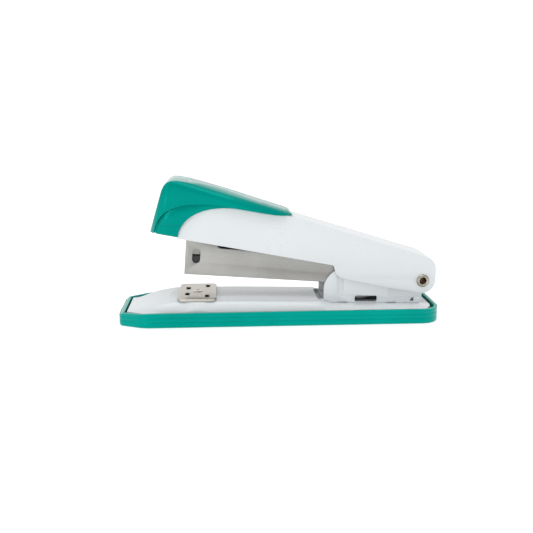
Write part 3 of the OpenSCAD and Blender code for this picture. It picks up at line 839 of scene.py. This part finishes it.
bare_steel = metal(
    "bare_steel_sheet", (0.25, 0.245, 0.235), (0.41, 0.405, 0.39), 0.44, (0.06, 1, 1),
    turn=-magazine_tilt, depth=0.005, patches=0.5,
)
channel = slab("magazine_sheet", (
    [(magazine_front_x, magazine_under_z), (-2.5, magazine_under_z)]
    + arc((0, 0), 4.2, -120, 90, 15)
    + [(-24, 7.2), (-82, 7.8), (-83.4, 8.2), (-84, 10.6), (magazine_front_x, 10.6)]
), -magazine_half_w, magazine_half_w)
round_edges(0.8, 4, lambda at, way: at.z < magazine_under_z + 0.01 and abs(way.x) > 0.9)
for name, outline in (
    ("hollow", [(-99, -2.75), (9, -2.75), (9, 14), (-99, 14)]),
    ("staple_exit", [(-99, -5), (-94.2, -5), (-94.2, 0), (-99, 0)]),
    ("rear_gap", [(-5, -5), (9, -5), (9, 0), (-5, 0)]),
):
    carve(channel, slab(name, outline, -magazine_inner_w, magazine_inner_w))
carve(channel, slab("side_slots", capsule((-91.7, 4.3), 1.6, 3.0, 10), -12, 12))
drill(channel, 1.95, (0, 0, 0), (0, 1, 0))
ease(channel, 0.1)
stand(channel, "magazine", bare_steel, "magazine_channel", tilt=magazine_tilt)

insert = from_design("magazine_nose_insert", "magazine_front", 0.1)
insert.scale.y = 0.84
insert_steel = metal("insert_steel_sheet", (0.24, 0.24, 0.235), (0.36, 0.36, 0.35), 0.4)
stand(insert, "magazine", insert_steel, "magazine_front")


# ---------------------------------------------------------------------------------------------
# Staple rail, guide rod, pusher and spring.
# The staples sit on a folded steel rail. A moulded black pusher slides on the rod, which the
# rail's front and a riveted retainer hold, and the long coil spring drives it forwards.

rail = from_design("staple_rail_sheet", "staple_rail", 0.12)
stand(rail, "magazine", bare_steel, "staple_rail")

retainer = from_design("rod_retainer_plate", "rod_retainer", 0.12)
stand(retainer, "magazine", bare_steel, "rod_retainer")

retainer_rivet = from_design("retainer_rivet", "retainer_rivets", 0.12)
stand(retainer_rivet, "magazine", nickel, "retainer_rivets")

rod_z = 0.3
rod = lathe("guide_rod_turned", [
    (0, -93.8), (0.7, -93.8), (0.9, -93.6), (0.9, -14.8), (0.7, -14.6), (0, -14.6),
], (0, 0, rod_z), (1, 0, 0), 24)
stand(rod, "magazine", zinc, "guide_rod", tilt=magazine_tilt)

long_coil = coil("pusher_coil_spring", 1.85, 0.25, -79.93, -16.07, 16)
long_coil.rotation_euler = (0, math.pi / 2, 0)
long_coil.location = (0, 0, rod_z)
stand(long_coil, "magazine", spring_wire, "pusher_spring", tilt=magazine_tilt)


def matt_plastic(name):
    """Black plastic with a finely grained skin."""
    finish = Finish(name, IOR=1.5)
    spark = finish.grain(0.25, 3)
    cloud = finish.grain(6)
    finish.feed(
        Base_Color=finish.blend(cloud, (0.006, 0.006, 0.007), (0.014, 0.014, 0.015)),
        Roughness=(spark * 0.2 + 0.35).clamped(),
    )
    finish.relief(spark, 0.02)
    return finish.material


pusher = from_design("pusher_moulding", "staple_pusher", 0.2, 3)
stand(pusher, "pusher", matt_plastic("black_moulding"), "staple_pusher")


# ---------------------------------------------------------------------------------------------
# Top cover.
# Pressed steel sheet in white paint: a sloping top with two deep sides that drop past the
# bracket behind a step, and end in round lobes that the hinge rivet holds.

cover_tilt = math.radians(10.6)
cover_half_w = 9.3
cover_sheet = 0.8
cover_inner_w = cover_half_w - cover_sheet
top_fall = math.tan(math.radians(6.6))


def cover_top(x, drop=0.0):
    """Height of the cover's top over the hinge axis, in the cover's own frame."""
    return 9.66 - drop - top_fall * x


cover = slab("cover_pressing", (
    [(-100, 0), (-37.6, 0), (-36.8, -0.5), (-36.1, -2.1), (-35.3, -3.5), (-33.8, -4.3),
     (-31.5, -4.7), (-13.7, -5.25)]
    + arc((0, 0), 5.2, -97, 8, 12)
    + [(4.8, 3), (4.4, 5.2), (3.8, 7), (2.9, 8.3), (1.7, 9.15), (0.2, cover_top(0.2))]
    + [(-100, cover_top(-100))]
), -cover_half_w, cover_half_w)
round_edges(2.3, 6, lambda at, way: abs(at.y) > cover_half_w - 0.01 and (
    at.z > cover_top(at.x, 0.3) and abs(way.x) > 0.9 or at.x > 0.5 and at.z > 3))
cover_void = slab("void", [
    (-103, -12), (12, -12), (12, 5), (3.6, 5), (3.0, 6.6), (2.2, 7.7), (1.2, 8.35),
    (0, cover_top(0, cover_sheet)), (-103, cover_top(-103, cover_sheet)),
], -cover_inner_w, cover_inner_w)
round_edges(1.5, 5, lambda at, way: abs(at.y) > cover_inner_w - 0.01 and (
    at.z > cover_top(at.x, 1.2) and abs(way.x) > 0.9 or 0.2 < at.x < 3.6 and at.z > 5))
carve(cover, cover_void)
drill(cover, 1.95, (0, 0, 0), (0, 1, 0))
ease(cover, 0.14)
stand(cover, "cover", white_paint, "top_cover", tilt=cover_tilt)


# ---------------------------------------------------------------------------------------------
# Cap: shell and skirt.
# Two injection-moulded parts in glossy teal plastic, pushed over the cover's front end. The
# shell overhangs the skirt along a sweeping lower edge, and the skirt is set in under it.

cap_half_w = 11.4
cap_wall = 1.4
cap_front_x = -110.9
cap_foot_z = 0.6
cap_rear_round = 7.5
cap_inner_w = 9.55
skirt_inset = 0.9
groove_gap = 0.4
crease_z = 5.3


def bow(middle_x, reach, rise, power):
    """A superellipse quarter, from its foot at the front to its crest."""
    points, steps = [], 14
    for i in range(steps + 1):
        u = math.cos(math.pi / 2 * i / steps)
        points.append((middle_x - reach * u, cap_foot_z + rise * (1 - u ** power) ** (1 / power)))
    return points


def cap_block(name, inset, edge, depth=-8):
    """The cap's outer form, drawn in from its surface: a sloping crown and a round front."""
    front = cap_front_x + inset
    drop = inset * 1.05
    half, front_r, rear_r = cap_half_w - inset, 6.5 - inset, cap_rear_round - inset
    piece = slab(name, [
        (front - 1, depth), (front + 1.9, 17.6 - drop * 0.4), (front + 2.5, 19.6 - drop * 0.7),
        (front + 3.6, 21.1 - drop * 0.9), (front + 5.2, 22.0 - drop), (front + 7.2, 22.35 - drop),
        (-101, 22.4 - drop), (-95.6, 22.1 - drop), (-83, 20.85 - drop), (-70, 19.0 - drop),
        (-60, 17.75 - drop), (-57.6, 17.4 - drop), (-56.7, 16.9 - drop), (-56.5, 16.2 - drop),
        (-56.5, depth),
    ], -half, half)
    # A section with round shoulders, swept down the crown's slope
    shoulder, crest = 4 - inset, 26.8 - inset
    section = draw("section", [(-130, y, z) for y, z in (
        arc((half - shoulder, crest - shoulder), shoulder, 0, 90, 9)
        + arc((shoulder - half, crest - shoulder), shoulder, 90, 180, 9)
        + [(-half, -60), (half, -60)]
    )])
    pull(90, 0, -11.05)
    heal()
    combine(piece, section, "INTERSECT")
    front_mid, rear_mid = front - 0.5 + front_r, -56.4 - rear_r
    plan = draw("plan", [(x, y, depth - 1) for x, y in (
        arc((front_mid, -half + front_r), front_r, 270, 180, 9)
        + arc((front_mid, half - front_r), front_r, 180, 90, 9)
        + arc((rear_mid, half - rear_r), rear_r, 90, 0, 15)
        + arc((rear_mid, -half + rear_r), rear_r, 0, -90, 15)
    )])
    pull(0, 0, 32.4 - inset)
    heal()
    combine(piece, plan, "INTERSECT")
    ease(piece, edge, 5, 35)
    return piece


# The cap is the tray's teal plastic painted 0.8 times as dark: painted shade, since the cap
# catches more light from above.
cap_teal_painted_shade = glossy_plastic(
    "cap_teal_painted_shade", (0.0, 0.2, 0.165), (0.0, 0.25, 0.21), (0.02, 0.95, 0.8), 0.11,
)
shell_edge = bow(-82, 27.3, 15.2, 2.5)
skirt_edge = bow(-76, 24, 15.2, 2.2)

shell = cap_block("cap_shell_moulding", 0, 1.0)
carve(shell, slab("below_shell", (
    [(-130, -20), (-130, cap_foot_z)] + shell_edge
    + [(-70, 15.85), (-64, 16.0), (-60, 16.4), (-57, 16.9), (-40, 17.0), (-40, -20)]
), -20, 20))
ease(shell, 0.3, 2, 50)
carve(shell, cap_block("void", cap_wall, 0.8, -12))
cover_room = slab("room", [
    (-102, -12), (-40, -12), (-40, cover_top(-40, -0.25)), (-102, cover_top(-102, -0.25)),
], -cap_inner_w, cap_inner_w)
round_edges(2.5, 6, lambda at, way: (
    abs(at.y) > cap_inner_w - 0.01 and at.z > 13 and abs(way.x) > 0.9))
carve(shell, cover_room)
stand(shell, "cover", cap_teal_painted_shade, "cap_shell", tilt=cover_tilt, smooth=40)

skirt = cap_block("cap_skirt_moulding", skirt_inset, 0.8)
carve(skirt, slab("below_skirt", (
    [(-130, -20), (-130, cap_foot_z), (-112, cap_foot_z)] + skirt_edge
    + [(-40, 15.8), (-40, -20)]
), -20, 20))
carve(skirt, slab("above_skirt", (
    [(-130, -2), (shell_edge[0][0] + groove_gap, -2)]
    + [(x + groove_gap, z) for x, z in shell_edge]
    + [(-40, 15.8), (-40, 40), (-130, 40)]
), -20, 20))
carve(skirt, slab("void", [
    (-107.4, -3), (-106.6, 9), (-103, 20), (-40, 20), (-40, -3),
], -cap_inner_w, cap_inner_w))
combine(skirt, slab("web", [
    (-109.3, 0.9), (-108.6, 9), (-106.9, 9), (-107.2, 0.9),
], -9.2, 9.2), "UNION")
# A crease runs along the cheeks, and they lean in below it
hold(skirt)
bpy.ops.object.mode_set(mode="EDIT")
for rise in (-0.1, 0.1):
    slice_at((-100, 0, crease_z + rise), (-0.1, 0, 1))
mesh = bmesh.from_edit_mesh(skirt.data)
for v in mesh.verts:
    low = (crease_z + (v.co.x + 100) * 0.1 - v.co.z) / 4.6
    if low > 0 and abs(v.co.y) > cap_half_w - 1.2:
        v.co.y *= 0.97 - 0.03 * low
bmesh.update_edit_mesh(skirt.data)
ease(skirt, 0.12)
stand(skirt, "cover", cap_teal_painted_shade, "cap_skirt", tilt=cover_tilt, smooth=40)


# ---------------------------------------------------------------------------------------------
# Driver blade, its rivets and the return spring.
# The hardened blade is folded back and riveted under the cover's top. The leaf spring is looped
# round the hinge and holds the cover up.

hard_steel = metal("hardened_steel", (0.28, 0.28, 0.3), (0.5, 0.5, 0.52), 0.28, (1, 1, 0.06))
blade = from_design("driver_blade_sheet", "driver_blade", 0.06)
stand(blade, "cover", hard_steel, "driver_blade")

blade_rivets = from_design("driver_rivet_pair", "driver_rivets", 0.15, 3)
stand(blade_rivets, "cover", nickel, "driver_rivets")

leaf = from_design("return_leaf", "return_spring", 0.1)
stand(leaf, "spring_arm", blued_and_painted_shade_leaf, "return_spring")
